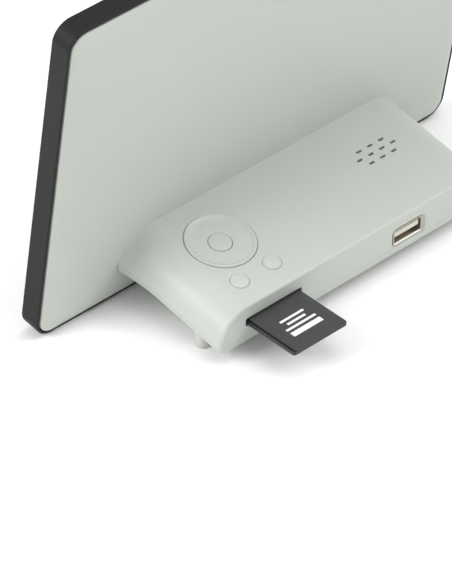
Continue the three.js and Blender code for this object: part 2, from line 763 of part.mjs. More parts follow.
// Main board: level, with the keys' cable and chips above and the sockets below.
function makeMainBoard() {
  const front = boardBack - boardDepth;
  let board = block(
    baseLeft + boardInset, baseRight - boardInset, front, boardBack, boardBottom, boardTop);
  for (const [x, y] of boardScrews) board = board.subtract(roundRod(pilot + fine, x, y, 0, far));
  addPiece(level, 'main_board', board, greenBoard);
  boardScrews.forEach(([x, y], index) => {
    const headTop = boardBottom - fine;
    const placed = screw(x, y, headTop - screwHeadHeight, boardScrewLength);
    addPiece(level, `board_screw_${index + 1}`, placed, steel);
  });
  const bottom = boardTop + fine;
  for (const [name, left, fromBack, sizeX, sizeY, height] of chips) {
    const y = boardBack - fromBack;
    const chip = block(
      -left - sizeX / 2, -left + sizeX / 2, y - sizeY / 2, y + sizeY / 2, bottom, bottom + height);
    addPiece(level, name, chip, blackPlastic);
  }
}

// Memory card socket: a plastic plate under the board and a steel channel that guides the card.
function makeCardSocket() {
  const inner = cardWidth / 2 + cardClearance;
  const outer = inner + socketWall;
  const mouth = -baseWall - gap;
  const stop = -(cardLength - cardSeat) - cardClearance;
  const rear = stop - socketStop;
  const cardBottom = cardTop - cardThickness - cardClearance;
  const plate = block(cardX - outer, cardX + outer, rear, mouth, cardTop + cardClearance, socketTop);
  const stopWall = block(cardX - outer, cardX + outer, rear, stop, cardBottom + fine, socketTop);
  addPiece(level, 'card_socket_body', plate.add(stopWall), blackPlastic);
  const channel = block(
    cardX - inner - socketSheet, cardX + inner + socketSheet, stop + gap, mouth,
    cardBottom - socketSheet, cardTop + cardClearance - fine);
  const room = block(cardX - inner, cardX + inner, stop - gap, mouth + gap, cardBottom, far);
  addPiece(level, 'card_socket_shell', channel.subtract(room), steel);
}

// Memory card: full width below, stepped in along both sides above, with one cut corner inside.
function makeCard() {
  const half = cardWidth / 2;
  const inEnd = cardOut - cardLength;
  const cardShape = (inset) => {
    const left = cardX - half + inset;
    const right = cardX + half - inset;
    const shape = new THREE.Shape();
    shape.moveTo(left + cardCorner - inset, inEnd);
    shape.lineTo(right, inEnd);
    shape.absarc(right - cardRound, cardOut - cardRound, cardRound, 0, Math.PI / 2);
    shape.absarc(left + cardRound, cardOut - cardRound, cardRound, Math.PI / 2, Math.PI);
    shape.lineTo(left, inEnd + cardCorner - inset);
    return shape;
  };
  const lower = alongZ(cardShape(0), cardTop - cardThickness, cardTop - cardStep, 3);
  const upper = alongZ(cardShape(cardRail), cardTop - cardThickness, cardTop, 3);
  addPiece(level, 'memory_card', lower.add(upper), cardPlastic);
}

// USB socket: a steel shell open to the back, with a plastic block and tongue inside.
function makeUsbSocket() {
  const halfWidth = usbWidth / 2;
  const halfHeight = usbHeight / 2;
  const front = -usbLength - gap;
  const shell = block(
    usbX - halfWidth, usbX + halfWidth, front, -gap * 2, usbZ - halfHeight, usbZ + halfHeight);
  const room = block(
    usbX - halfWidth + usbSheet, usbX + halfWidth - usbSheet, front - gap, gap,
    usbZ - halfHeight + usbSheet, usbZ + halfHeight - usbSheet);
  addPiece(level, 'usb_shell', shell.subtract(room), nickel);
  const blockHalfWidth = halfWidth - usbSheet - fine;
  const blockHalfHeight = halfHeight - usbSheet - fine;
  const blockRear = front + usbBlock;
  const insert = block(
    usbX - blockHalfWidth, usbX + blockHalfWidth, front, blockRear,
    usbZ - blockHalfHeight, usbZ + blockHalfHeight);
  const tongue = block(
    usbX - usbTongueWidth / 2, usbX + usbTongueWidth / 2, blockRear - gap, blockRear + usbTongueLength,
    usbZ + blockHalfHeight - usbTongueDrop - usbTongueThickness, usbZ + blockHalfHeight - usbTongueDrop);
  addPiece(level, 'usb_tongue', insert.add(tongue), beigePlastic);
}

// Power jack: a plastic body with a round bore at the housing's left end, and its centre pin.
function makePowerJack() {
  const left = baseLeft + baseWall + jackSetback;
  const right = left + jackLength;
  const y = -jackFromBack;
  const rod = (radius, x0, x1, sides) => {
    const geometry = new THREE.CylinderGeometry(radius, radius, x1 - x0, sides);
    return toSolid(geometry.rotateZ(Math.PI / 2).translate((x0 + x1) / 2, y, jackZ));
  };
  const depth = left + jackLength * jackBoreShare;
  const body = block(
    left, right, y - jackWidth / 2, y + jackWidth / 2, jackZ - jackHeight / 2, jackZ + jackHeight / 2);
  addPiece(level, 'power_jack', body.subtract(rod(jackBore, left - gap, depth, 20)), blackPlastic);
  addPiece(level, 'power_jack_pin', rod(jackPin, left + jackPinSetback, depth - gap, 12), nickel);
}

// Two leads run from the speaker to the board, side by side.
function makeSpeakerLeads() {
  const leads = [['speaker_lead_red', 0, redPlastic], ['speaker_lead_black', leadSpacing, blackPlastic]];
  const section = new THREE.Shape().absarc(0, 0, leadRadius, 0, Math.PI * 2);
  const startX = speakerX + speakerRadius * 0.9;
  const reach = cableX - connectorHalf - leadToConnector - startX;
  for (const [name, offset, look] of leads) {
    const y = -speakerFromBack * Math.cos(slope) - leadOffset - offset;
    const route = new THREE.CatmullRomCurve3(leadRoute.map(([share, forward, height]) =>
      new THREE.Vector3(startX + share * reach, y + forward, boardTop + height)));
    const tube = new THREE.ExtrudeGeometry(section, { steps: 10, curveSegments: 4, extrudePath: route });
    addPiece(level, name, toSolid(tube), look);
  }
}

// Feet: two rubber feet under the housing's back and two thin wedges under the bezel.
function makeFeet() {
  const underBase = block(-far, far, -far, far, baseBottom - gap, far);
  const underBezel = block(-far, far, -far, far, -gap, far);
  const cutToFit = (solid, above, frame) => solid.subtract(above.transform(frame.elements));
  const bezelRear = junctionY - baseTop * Math.sin(lean);
  const padRear = bezelRear - gap * 2;
  const padFront = bezelRear - bezelDepth * Math.cos(lean) + gap * 2;
  const footHeight = backEdge;
  for (const [side, name] of [[-1, 'left'], [1, 'right']]) {
    const x = baseOffset + side * (baseLength / 2 - footInset);
    const foot = [
      [0, 0], [footRadius - footRound, 0], [footRadius, footRound], [footRadius, footHeight], [0, footHeight],
    ];
    const standing = turned(foot, x, -footFromBack, 24);
    addPiece(level, `rear_foot_${name}`, cutToFit(standing, underBase, slopingFrame), footRubber);
    const outer = side * (panelWidth / 2 - padInset);
    const inner = outer - side * padLength;
    const pad = block(Math.min(inner, outer), Math.max(inner, outer), padFront, padRear, 0, bezelDepth / 2);
    addPiece(level, `bezel_pad_${name}`, cutToFit(pad, underBezel, panelFrame), footRubber);
  }
}

addPiece(panel, 'front_bezel', makeBezel(), darkShell);
makeScreen();
makeRails();
addPiece(sloping, 'rear_cover', makeRearCover(), paleShell);
addPiece(sloping, 'base_cover', makeBaseCover(), paleShell);
housingScrews().forEach(([x, y], index) => {
  addPiece(sloping, `base_screw_${index + 1}`, screw(x, y, baseBottom + fine, baseScrewLength), steel);
});
makeControls();
makeKeyBoard();
makeSpeaker();
makeScreenCable();
makeMainBoard();
makeCardSocket();
makeCard();
makeUsbSocket();
makePowerJack();
makeSpeakerLeads();
makeFeet();

// The origin is the middle of the whole object's footprint, on the table.
const assembly = new THREE.Group();
assembly.add(sloping, level);
assembly.updateMatrixWorld(true);
const extent = new THREE.Box3().setFromObject(assembly, true);
assembly.position.set(
  -(extent.min.x + extent.max.x) / 2, -(extent.min.y + extent.max.y) / 2, -extent.min.z);
const group = new THREE.Group();
group.add(assembly);

export default group;
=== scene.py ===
import json
import math

import bmesh
import bpy
import numpy as np
from mathutils import Matrix, Vector


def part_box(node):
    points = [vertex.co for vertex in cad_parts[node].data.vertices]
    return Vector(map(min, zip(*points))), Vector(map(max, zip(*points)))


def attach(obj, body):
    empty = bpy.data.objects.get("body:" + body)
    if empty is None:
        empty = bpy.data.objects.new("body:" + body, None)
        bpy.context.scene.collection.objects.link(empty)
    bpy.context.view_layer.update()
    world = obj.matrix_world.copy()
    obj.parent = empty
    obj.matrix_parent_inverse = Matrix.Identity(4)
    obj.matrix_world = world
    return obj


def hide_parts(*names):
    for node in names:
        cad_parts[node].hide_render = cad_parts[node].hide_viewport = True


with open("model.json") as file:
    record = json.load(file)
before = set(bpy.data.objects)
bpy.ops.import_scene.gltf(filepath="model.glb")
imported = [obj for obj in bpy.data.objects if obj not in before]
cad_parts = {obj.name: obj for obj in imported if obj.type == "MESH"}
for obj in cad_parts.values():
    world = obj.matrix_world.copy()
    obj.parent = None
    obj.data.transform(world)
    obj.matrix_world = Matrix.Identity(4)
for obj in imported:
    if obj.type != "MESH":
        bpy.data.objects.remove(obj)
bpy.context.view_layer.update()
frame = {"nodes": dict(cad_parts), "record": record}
shown = frame["nodes"]
mm = 0.001

# The table and the room: a seamless white paper sweep in a white room with three softboxes, as small
# goods are lit. The floor throws light back up, so the housing's underside stays readable.

# The sockets of a Mix node that mixes colours; its named ones are those that mix plain numbers.
colour_a, colour_b, colour_out = 6, 7, 2


def linear(hex_colour):
    """An sRGB hex colour as a linear RGBA colour."""
    channels = [int(hex_colour[i:i + 2], 16) / 255 for i in (0, 2, 4)]
    return [c / 12.92 if c <= 0.04045 else ((c + 0.055) / 1.055) ** 2.4 for c in channels] + [1.0]


def add(tree, kind, links=(), **settings):
    """Adds a node, sets its properties and input values, and joins (socket, source) links."""
    made = tree.nodes.new(kind)
    for name, value in settings.items():
        if hasattr(made, name):
            setattr(made, name, value)
        else:
            made.inputs[name.replace("_", " ")].default_value = value
    for socket, source in links:
        tree.links.new(source, made.inputs[socket])
    return made


def blank_material(name):
    """A material with an empty node tree and its output node."""
    material = bpy.data.materials.new(name)
    material.use_nodes = True
    material.node_tree.nodes.clear()
    output = material.node_tree.nodes.new("ShaderNodeOutputMaterial")
    return material, material.node_tree, output


def surface_object(name, vertices, faces):
    """A mesh object at the origin whose faces point outwards."""
    mesh = bpy.data.meshes.new(name)
    mesh.from_pydata(np.asarray(vertices).tolist(), [], faces)
    shape = bmesh.new()
    shape.from_mesh(mesh)
    bmesh.ops.recalc_face_normals(shape, faces=shape.faces)
    shape.to_mesh(mesh)
    shape.free()
    made = bpy.data.objects.new(name, mesh)
    bpy.context.scene.collection.objects.link(made)
    return made


floor_half = 3.0
floor_corners = [(x * floor_half, y * floor_half, 0) for x, y in ((-1, -1), (1, -1), (1, 1), (-1, 1))]
floor = surface_object("floor", floor_corners, [(0, 1, 2, 3)])
paper, tree, output = blank_material("white_paper_sweep")
paper_fibre = add(tree, "ShaderNodeTexNoise", Scale=900.0, Detail=3.0)
paper_tone = add(tree, "ShaderNodeMix", [(0, paper_fibre.outputs["Fac"])], data_type="RGBA")
paper_tone.inputs[colour_a].default_value = linear("fbfbfb")
paper_tone.inputs[colour_b].default_value = linear("fdfdfd")
paper_shader = add(
    tree, "ShaderNodeBsdfPrincipled", [("Base Color", paper_tone.outputs[colour_out])], Roughness=0.9)
tree.links.new(paper_shader.outputs[0], output.inputs[0])
floor.data.materials.append(paper)

room = bpy.data.worlds.new("white_room")
room.use_nodes = True
room.node_tree.nodes["Background"].inputs["Color"].default_value = (1.0, 1.0, 1.0, 1.0)
room.node_tree.nodes["Background"].inputs["Strength"].default_value = 0.7
bpy.context.scene.world = room
bpy.context.scene.view_settings.view_transform = "Standard"


softbox_distance = 1.5


def softbox(name, direction, size, power):
    """A square area light that faces the object's middle from a direction."""
    lamp = bpy.data.lights.new(name, "AREA")
    lamp.size = size
    lamp.energy = power
    holder = bpy.data.objects.new(name, lamp)
    place = Vector(direction).normalized() * softbox_distance
    holder.location = place
    holder.rotation_mode = "QUATERNION"
    holder.rotation_quaternion = place.to_track_quat("Z", "Y")
    bpy.context.scene.collection.objects.link(holder)


softbox("side_softbox", (1.0, -0.3, 0.7), 0.6, 11.5)
softbox("top_softbox", (-0.1, 0.1, 1.0), 1.0, 5.5)
softbox("edge_softbox", (-0.54, 0.51, 0.68), 0.5, 6.2)

# Camera: a long lens that looks down at the back of the frame, from above and from its control end.
# It stands well away, so the housing's edges stay nearly parallel.
azimuth, elevation, roll = math.radians(136.47), math.radians(38.46), math.radians(-0.56)
camera_distance = 1.467
aim = Vector((0.0392, 0.0, 0.0104))
toward_camera = Vector((
    math.sin(azimuth) * math.cos(elevation), -math.cos(azimuth) * math.cos(elevation), math.sin(elevation)))
forward = -toward_camera
level_right = forward.cross(Vector((0, 0, 1))).normalized()
level_down = forward.cross(level_right)
right = level_right * math.cos(roll) + level_down * math.sin(roll)
down = level_down * math.cos(roll) - level_right * math.sin(roll)
camera = bpy.data.objects.new("camera", bpy.data.cameras.new("camera"))
camera.data.lens = 276.5
camera.data.sensor_width = 36.0
camera.data.clip_end = 20.0
turn = Matrix((right, -down, toward_camera)).transposed()
camera.matrix_world = Matrix.Translation(aim + toward_camera * camera_distance) @ turn.to_4x4()
bpy.context.scene.collection.objects.link(camera)
bpy.context.scene.camera = camera

# Rear cover: one injection moulding in pale grey-green ABS, the panel's softly crowned back and the
# control housing's upper shell, which widens low on its shoulders to meet it. It clips into the bezel.
lean, slope = math.radians(8.6), math.radians(10.2)
housing_depth = 47.2 * mm
panel_width, panel_height, panel_corner = 188 * mm, 132 * mm, 7 * mm
junction_height = 27.2 * mm
pad_height = 0.7 * mm
back_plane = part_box("rear_cover")[1].y
junction = (back_plane - housing_depth * math.cos(slope), pad_height + junction_height * math.cos(lean))
housing_centre = -3.6 * mm
housing_half = 62.5 * mm
shoulder = 12.4 * mm
housing_thickness = 14.8 * mm
bottom_corner = 2.8 * mm
wall = 1.8 * mm
seam = -housing_thickness + 3.3 * mm
plate_inset, plate_rise, plate_front = 1.4 * mm, 1.0 * mm, -1.1 * mm
crown_width = 4.0 * mm
far = 0.3


def tilted(angle, points):
    """(x, y, z) about the line where panel and housing meet, tipped by an angle, in the row frame."""
    x, y, z = np.moveaxis(np.asarray(points, float), -1, 0)
    return np.stack([
        x,
        junction[0] + y * math.cos(angle) + z * math.sin(angle),
        junction[1] - y * math.sin(angle) + z * math.cos(angle)], axis=-1)


def at_back(points):
    """(x, z, out) on the housing's upright back face, in the row frame."""
    x, z, out = np.moveaxis(np.asarray(points, float), -1, 0)
    return np.stack([x, back_plane + out, z], axis=-1)


def rounded_loop(width, height, radius, steps=10):
    """A closed loop of points and outward normals: four quarter circles joined by straight sides."""
    points, normals = [], []
    for corner, (sx, sz) in enumerate([(1, -1), (1, 1), (-1, 1), (-1, -1)]):
        angle = (corner - 1) * math.pi / 2 + np.linspace(0, math.pi / 2, steps + 1)
        normal = np.stack([np.cos(angle), np.sin(angle)], axis=-1)
        centre = np.array([sx * (width / 2 - radius), sz * (height / 2 - radius)])
        points.append(centre + radius * normal)
        normals.append(normal)
    return np.concatenate(points), np.concatenate(normals)


def skinned(name, rings):
    """Joins a stack of closed rings with quads, and closes both ends with one flat face each."""
    rings = np.asarray(rings)
    count, around = rings.shape[:2]
    i, j = np.meshgrid(np.arange(count - 1), np.arange(around), indexing="ij")
    after = (j + 1) % around
    quads = np.stack(
        [i * around + j, i * around + after, (i + 1) * around + after, (i + 1) * around + j], axis=-1)
    faces = quads.reshape(-1, 4).tolist()
    faces += [list(range(around)), list(range((count - 1) * around, count * around))]
    return surface_object(name, rings.reshape(-1, 3), faces)


def housing_section(offset, low=-housing_thickness, corner=bottom_corner, steps=26):
    """The housing's outline across its length, moved outwards by an offset: a flat top, big quarter-circle
    shoulders, and a small circle that meets each shoulder without a corner and turns under it."""
    across = housing_half - shoulder
    tuck = math.asin(max(0.0, (low + corner + shoulder) / (shoulder - corner)))
    half = []
    for x, z, radius, start, end in (
            (across + (shoulder - corner) * math.cos(tuck), low + corner, corner, -math.pi / 2, tuck),
            (across, -shoulder, shoulder, tuck, math.pi / 2)):
        angle = np.linspace(start, end, steps + 1)
        normal = np.stack([np.cos(angle), np.sin(angle)], axis=-1)
        half.append(np.hstack([np.array([x, z]) + radius * normal, normal]))
    right_side = np.concatenate(half)
    left_side = right_side[::-1] * np.array([-1, 1, -1, 1])
    loop = np.concatenate([right_side, left_side])
    points, normals = loop[:, :2] + np.array([housing_centre, 0]), loop[:, 2:]
    return points + normals * np.broadcast_to(offset, len(points))[:, None]


def ring_at(section, depth):
    """A section placed at a depth from the panel along the housing."""
    return np.stack([section[:, 0], np.broadcast_to(depth, len(section)), section[:, 1]], axis=-1)


def plate_depth(z):
    """How far the panel's back is from the junction, along the housing, at a height."""
    return plate_rise / math.cos(slope - lean) - z * math.tan(slope - lean)


def back_depth(z):
    """How far the upright back face is from the junction, along the housing, at a height."""
    return housing_depth - z * math.tan(slope)


def back_wall_inside(z):
    """How far the inside of the back face's wall is from the junction, along the housing, at a height."""
    return back_depth(z) - wall / math.cos(slope)


flare_top, flare_low = 0.12 * mm, 1.9 * mm
reach_top, reach_low = 0.2 * mm, 20.0 * mm
back_round_top, back_round_low = 0.9 * mm, 1.6 * mm
root_depth, root_overlap = 0.6 * mm, 0.02 * mm


def housing_solid(name):
    """The section carried back from the panel. Low on each shoulder it grows towards the panel by
    widening * (1 - s)^2, where s is the share of the reach, and it ends in a small round at the back."""
    outline = housing_section(0)
    from_centre = np.abs(outline[:, 0] - housing_centre)
    toward_end = np.clip((from_centre - housing_half + shoulder) / shoulder, 0, 1)
    toward_floor = np.clip(-outline[:, 1] / shoulder, 0, 1)
    flare = toward_end ** 2 * toward_floor ** 2 * (3 - 2 * toward_floor)
    widening = flare_top + (flare_low - flare_top) * flare
    reach = reach_top + (reach_low - reach_top) * flare
    rings = []
    sunk = housing_section(widening)
    rings.append(ring_at(sunk, plate_depth(sunk[:, 1]) - root_depth))
    for share in np.linspace(0, 1, 13):
        section = housing_section(widening * (1 - share) ** 2)
        rings.append(ring_at(section, plate_depth(section[:, 1]) + reach * share - root_overlap))
    back_round = back_round_top + (back_round_low - back_round_top) * toward_floor ** 3
    for turn_angle in np.linspace(0, math.pi / 2, 8):
        section = housing_section(-back_round * (1 - math.cos(turn_angle)))
        drawn_in = back_round * (1 - math.sin(turn_angle))
        rings.append(ring_at(section, back_depth(section[:, 1]) - drawn_in))
    return skinned(name, tilted(slope, np.array(rings)))


def combine(target, other, operation):
    """Joins another closed solid to a solid, or cuts it away, and removes the other."""
    step = target.modifiers.new("combine", "BOOLEAN")
    step.operation = operation
    step.solver = "MANIFOLD"
    step.object = other
    worked_out = target.evaluated_get(bpy.context.evaluated_depsgraph_get())
    result = bpy.data.meshes.new_from_object(worked_out)
    target.modifiers.clear()
    target.data = result
    bpy.data.objects.remove(other)
    return target


def block(corner_a, corner_b, place):
    """A closed box between two corners, set in place by a function from local to row coordinates."""
    (x0, y0, z0), (x1, y1, z1) = corner_a, corner_b
    loop = np.array([(x0, y0), (x1, y0), (x1, y1), (x0, y1)])
    rings = [np.column_stack([loop, np.full(4, z)]) for z in (z0, z1)]
    return skinned("block", place(np.array(rings)))


cutter_above = 1 * mm


def flared_cutter(loop, normals, edge, depth, place, straight=False):
    """A hole's shape with a rounded or chamfered mouth: loops stacked by their height off the face."""
    heights = [(cutter_above, edge), (0, edge)]
    if straight:
        heights.append((-edge, 0))
    else:
        for turn_angle in np.linspace(0, math.pi / 2, 7)[1:]:
            heights.append((-edge * (1 - math.cos(turn_angle)), edge * (1 - math.sin(turn_angle))))
    heights.append((-depth, 0))
    rings = [np.column_stack([loop + normals * grow, np.full(len(loop), z)]) for z, grow in heights]
    return skinned("cutter", place(np.array(rings)))


def on_top(points):
    """(x, y, height) on the housing's top face, in the row frame."""
    return tilted(slope, points)


card_gap, card_mouth = 0.45 * mm, 0.3 * mm
plug_gap, plug_mouth = 0.15 * mm, 1.1 * mm
opening_corner, opening_depth = 0.7 * mm, 4 * mm
jack_radius = 2.8 * mm


def openings():
    """The holes for the card, the plug and the power jack, which cross the seam."""
    card_low, card_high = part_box("memory_card")
    usb_low, usb_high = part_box("usb_shell")
    jack_low, jack_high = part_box("power_jack")
    for low, high, gap, mouth, straight in (
            (card_low, card_high, card_gap, card_mouth, False),
            (usb_low, usb_high, plug_gap, plug_mouth, True)):
        width, height = high.x - low.x + 2 * gap, high.z - low.z + 2 * gap
        loop, normals = rounded_loop(width, height, opening_corner)
        loop = loop + np.array([(low.x + high.x) / 2, (low.z + high.z) / 2])
        yield flared_cutter(loop, normals, mouth, opening_depth, at_back, straight)
    loop, _ = rounded_loop(2 * jack_radius, 2 * jack_radius, jack_radius, 16)
    centre = np.array([(jack_low.y + jack_high.y) / 2, (jack_low.z + jack_high.z) / 2])
    start, end = housing_centre - housing_half - cutter_above, jack_low.x
    rings = [np.column_stack([np.full(len(loop), x), loop + centre]) for x in (start, end)]
    yield skinned("cutter", np.array(rings))


def finished(made, body, material, sharp=35):
    """Shades a solid smooth up to an angle, weights its normals by area, and sets body and material."""
    made.data.shade_smooth()
    made.data.set_sharp_from_angle(angle=math.radians(sharp))
    weights = made.modifiers.new("weights", "WEIGHTED_NORMAL")
    weights.keep_sharp = True
    made.data.materials.clear()
    made.data.materials.append(material)
    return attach(made, body)


def panel_loop(loop, y):
    """A loop of (across, up) about the panel's middle, at a height off the panel's rear plane."""
    up = loop[:, 1] + panel_height / 2 - junction_height
    return np.column_stack([loop[:, 0], np.full(len(loop), y), up])


def plate_ring(inset, y):
    """A loop round the cover's plate, inset from its edge, at a height off the bezel."""
    loop, _ = rounded_loop(
        panel_width - 2 * (plate_inset + inset), panel_height - 2 * (plate_inset + inset),
        panel_corner - plate_inset - inset, 16)
    return panel_loop(loop, y)


crown = [
    plate_ring(crown_width * (1 - math.cos(a)), plate_rise * math.sin(a))
    for a in np.linspace(0, math.pi / 2, 15)]
rear_cover = skinned("rear_cover_moulding", tilted(lean, np.array([plate_ring(0, plate_front)] + crown)))
upper = housing_solid("upper")
combine(upper, block((-far, -far, -far), (far, far, seam), on_top), "DIFFERENCE")
combine(rear_cover, upper, "UNION")

hollow_low, hollow_corner = -40 * mm, 3 * mm
hollow = []
for depth_at in (lambda z: plate_depth(-housing_thickness), back_wall_inside):
    section = housing_section(-wall, low=hollow_low, corner=hollow_corner)
    hollow.append(ring_at(section, depth_at(section[:, 1])))
combine(rear_cover, skinned("hollow", on_top(np.array(hollow))), "DIFFERENCE")
for cutter in openings():
    combine(rear_cover, cutter, "DIFFERENCE")
cable_low, cable_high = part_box("screen_cable")
cable_margin = 2.0 * mm
slit_front, slit_rear = -5.0 * mm, 2.0 * mm
slit_floor, slit_roof = -10.6 * mm, -3.0 * mm
slit_low = (cable_low.x - cable_margin, slit_front, slit_floor)
slit_high = (cable_high.x + cable_margin, slit_rear, slit_roof)
combine(rear_cover, block(slit_low, slit_high, on_top), "DIFFERENCE")

ring_x = (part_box("direction_ring")[0].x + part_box("direction_ring")[1].x) / 2
ring_y, ring_radius = 20.1 * mm, 12.2 * mm
key_y, key_radius, key_pitch = 37.3 * mm, 3.25 * mm, 14.5 * mm
ring_clearance, key_clearance = 0.13 * mm, 0.05 * mm
ring_mouth, key_mouth, slot_mouth = 0.3 * mm, 0.2 * mm, 0.08 * mm
speaker_x = (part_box("speaker_gasket")[0].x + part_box("speaker_gasket")[1].x) / 2
speaker_y = 19.7 * mm
slot_length, slot_width, slot_pitch, slot_row = 2.45 * mm, 0.95 * mm, 5.14 * mm, 3.2 * mm
slot_radius = slot_width / 2 - 0.001 * mm
cut_depth = 3 * mm


def cut_top(x, y, width, height, radius, edge, steps):
    """Cuts one round-mouthed hole through the housing's top."""
    loop, normals = rounded_loop(width, height, radius, steps)
    loop = loop + np.array([x, y])
    combine(rear_cover, flared_cutter(loop, normals, edge, cut_depth, on_top), "DIFFERENCE")


hole = ring_radius + ring_clearance
cut_top(ring_x, ring_y, 2 * hole, 2 * hole, hole, ring_mouth, 30)
for side in (-1, 1):
    hole = key_radius + key_clearance
    cut_top(ring_x + side * key_pitch / 2, key_y, 2 * hole, 2 * hole, hole, key_mouth, 16)
for row, count in ((1, 3), (0, 4), (-1, 3)):
    for index in range(count):
        x = speaker_x + (index - (count - 1) / 2) * slot_pitch
        cut_top(x, speaker_y + row * slot_row, slot_length, slot_width, slot_radius, slot_mouth, 6)


def moulded_plastic(name, hex_colour, roughness, grain, relief, mottle=0.02, shine=0.5):
    """Injection-moulded plastic with a fine spark-eroded grain: soft highlights, faintly uneven tone."""
    material, tree, output = blank_material(name)
    place = add(tree, "ShaderNodeTexCoord").outputs["Object"]
    cloud = add(tree, "ShaderNodeTexNoise", [("Vector", place)], Scale=45.0, Detail=3.0)
    pale = linear(hex_colour)
    tone = add(tree, "ShaderNodeMix", [(0, cloud.outputs["Fac"])], data_type="RGBA")
    tone.inputs[colour_a].default_value = [c * (1 - mottle) for c in pale[:3]] + [1]
    tone.inputs[colour_b].default_value = [min(c * (1 + mottle), 1) for c in pale[:3]] + [1]
    spread = 0.04
    rough = add(tree, "ShaderNodeMapRange", [("Value", cloud.outputs["Fac"])])
    rough.inputs["To Min"].default_value = roughness - spread
    rough.inputs["To Max"].default_value = roughness + spread
    pits = add(tree, "ShaderNodeTexNoise", [("Vector", place)], Scale=1 / grain, Detail=2.0)
    bump = add(tree, "ShaderNodeBump", [("Height", pits.outputs["Fac"])], Strength=1.0, Distance=relief)
    inputs = [
        ("Base Color", tone.outputs[colour_out]), ("Roughness", rough.outputs[0]),
        ("Normal", bump.outputs[0])]
    shader = add(tree, "ShaderNodeBsdfPrincipled", inputs, IOR=1.54)
    shader.inputs["Specular IOR Level"].default_value = shine
    tree.links.new(shader.outputs[0], output.inputs[0])
    return material


pale_abs = moulded_plastic("pale_grained_abs", "b9beb7", 0.46, 0.45 * mm, 0.006 * mm)
finished(rear_cover, "frame_body", pale_abs)
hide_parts("rear_cover")

# Base cover: the shallow tray of the same ABS that closes the housing from below, held by four
# screws in counterbores. Its edge meets the upper shell in a fine seam.
tray_floor, tray_corner = 1.2 * mm, 2.4 * mm
seam_gap, front_gap = 0.06 * mm, 0.3 * mm
screw_hole, head_hole, head_depth = 1.2 * mm, 2.1 * mm, 1.5 * mm
screw_rows, screw_inset = (6.5 * mm, 27 * mm), 6 * mm
bore_low = -20 * mm
base_cover = housing_solid("base_cover_tray")
combine(base_cover, block((-far, -far, seam - seam_gap), (far, far, far), on_top), "DIFFERENCE")
front_edge = plate_depth(-housing_thickness) + front_gap
combine(base_cover, block((-far, -far, -far), (far, front_edge, far), on_top), "DIFFERENCE")
inner = []
for depth_at in (lambda z: front_edge + wall, back_wall_inside):
    section = housing_section(-wall, low=-housing_thickness + tray_floor - wall, corner=tray_corner)
    inner.append(ring_at(section, depth_at(section[:, 1])))
combine(base_cover, skinned("inner", on_top(np.array(inner))), "DIFFERENCE")
for cutter in openings():
    combine(base_cover, cutter, "DIFFERENCE")
unit_circle, _ = rounded_loop(2, 2, 1, 10)
for side in (-1, 1):
    for along in screw_rows:
        x = housing_centre + side * (housing_half - screw_inset)
        for radius, bore_top in ((screw_hole, seam), (head_hole, -housing_thickness + head_depth)):
            loop = unit_circle * radius + [x, along]
            rings = [np.column_stack([loop, np.full(len(loop), z)]) for z in (bore_low, bore_top)]
            combine(base_cover, skinned("bore", on_top(np.array(rings))), "DIFFERENCE")
finished(base_cover, "frame_body", pale_abs)
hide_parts("base_cover")

# Front bezel: a satin charcoal ABS frame round the screen, its outer edges lightly rounded, with a
# chamfered window. The rear cover drops into its rim, and four posts inside take the rail screws.
bezel_depth, bezel_wall, bezel_face = 8.0 * mm, 1.8 * mm, 1.8 * mm
window_width, window_height = 155 * mm, 88 * mm
rim_round, rear_round, least_corner = 0.8 * mm, 0.3 * mm, 0.5 * mm
lip_inset, lip_depth = 0.9 * mm, 1.4 * mm
window_chamfer, window_corner = 0.7 * mm, 1 * mm


def bezel_ring(inset, y):
    """A loop round the bezel, inset from its edge, at a height off the panel's rear plane."""
    corner = max(panel_corner - inset, least_corner)
    loop, _ = rounded_loop(panel_width - 2 * inset, panel_height - 2 * inset, corner, 14)
    return panel_loop(loop, y)


def window_ring(grow, y):
    """A loop round the bezel's window, widened by a chamfer, at a height off the rear plane."""
    loop, _ = rounded_loop(window_width + 2 * grow, window_height + 2 * grow, window_corner + grow, 14)
    return panel_loop(loop, y)


def closed_frame(name, rings):
    """Joins loops into a ring-shaped solid whose last loop meets its first."""
    rings = np.asarray(rings)
    count, around = rings.shape[:2]
    i, j = np.meshgrid(np.arange(count), np.arange(around), indexing="ij")
    after, onward = (j + 1) % around, (i + 1) % count
    quads = np.stack(
        [i * around + j, i * around + after, onward * around + after, onward * around + j], axis=-1)
    return surface_object(name, rings.reshape(-1, 3), quads.reshape(-1, 4).tolist())


profile = [bezel_ring(lip_inset, -lip_depth), bezel_ring(lip_inset, 0), bezel_ring(rear_round, 0)]
profile += [
    bezel_ring(rear_round * (1 - math.sin(a)), -rear_round * (1 - math.cos(a)))
    for a in np.linspace(0, math.pi / 2, 5)[1:]]
profile += [
    bezel_ring(rim_round * (1 - math.cos(a)), -bezel_depth + rim_round * (1 - math.sin(a)))
    for a in np.linspace(0, math.pi / 2, 8)]
profile += [window_ring(window_chamfer, -bezel_depth), window_ring(0, -bezel_depth + window_chamfer)]
profile += [window_ring(0, -bezel_depth + bezel_face)]
profile += [bezel_ring(bezel_wall, -bezel_depth + bezel_face), bezel_ring(bezel_wall, -lip_depth)]
bezel = closed_frame("front_bezel_moulding", tilted(lean, np.array(profile)))
post_radius, pilot_radius, post_end = 2.6 * mm, 1.0 * mm, -3.9 * mm
post_sunk, pilot_sunk, post_sides = 0.2 * mm, 0.6 * mm, 32
face_rear = -bezel_depth + bezel_face
circle = np.linspace(0, 2 * math.pi, post_sides, endpoint=False)
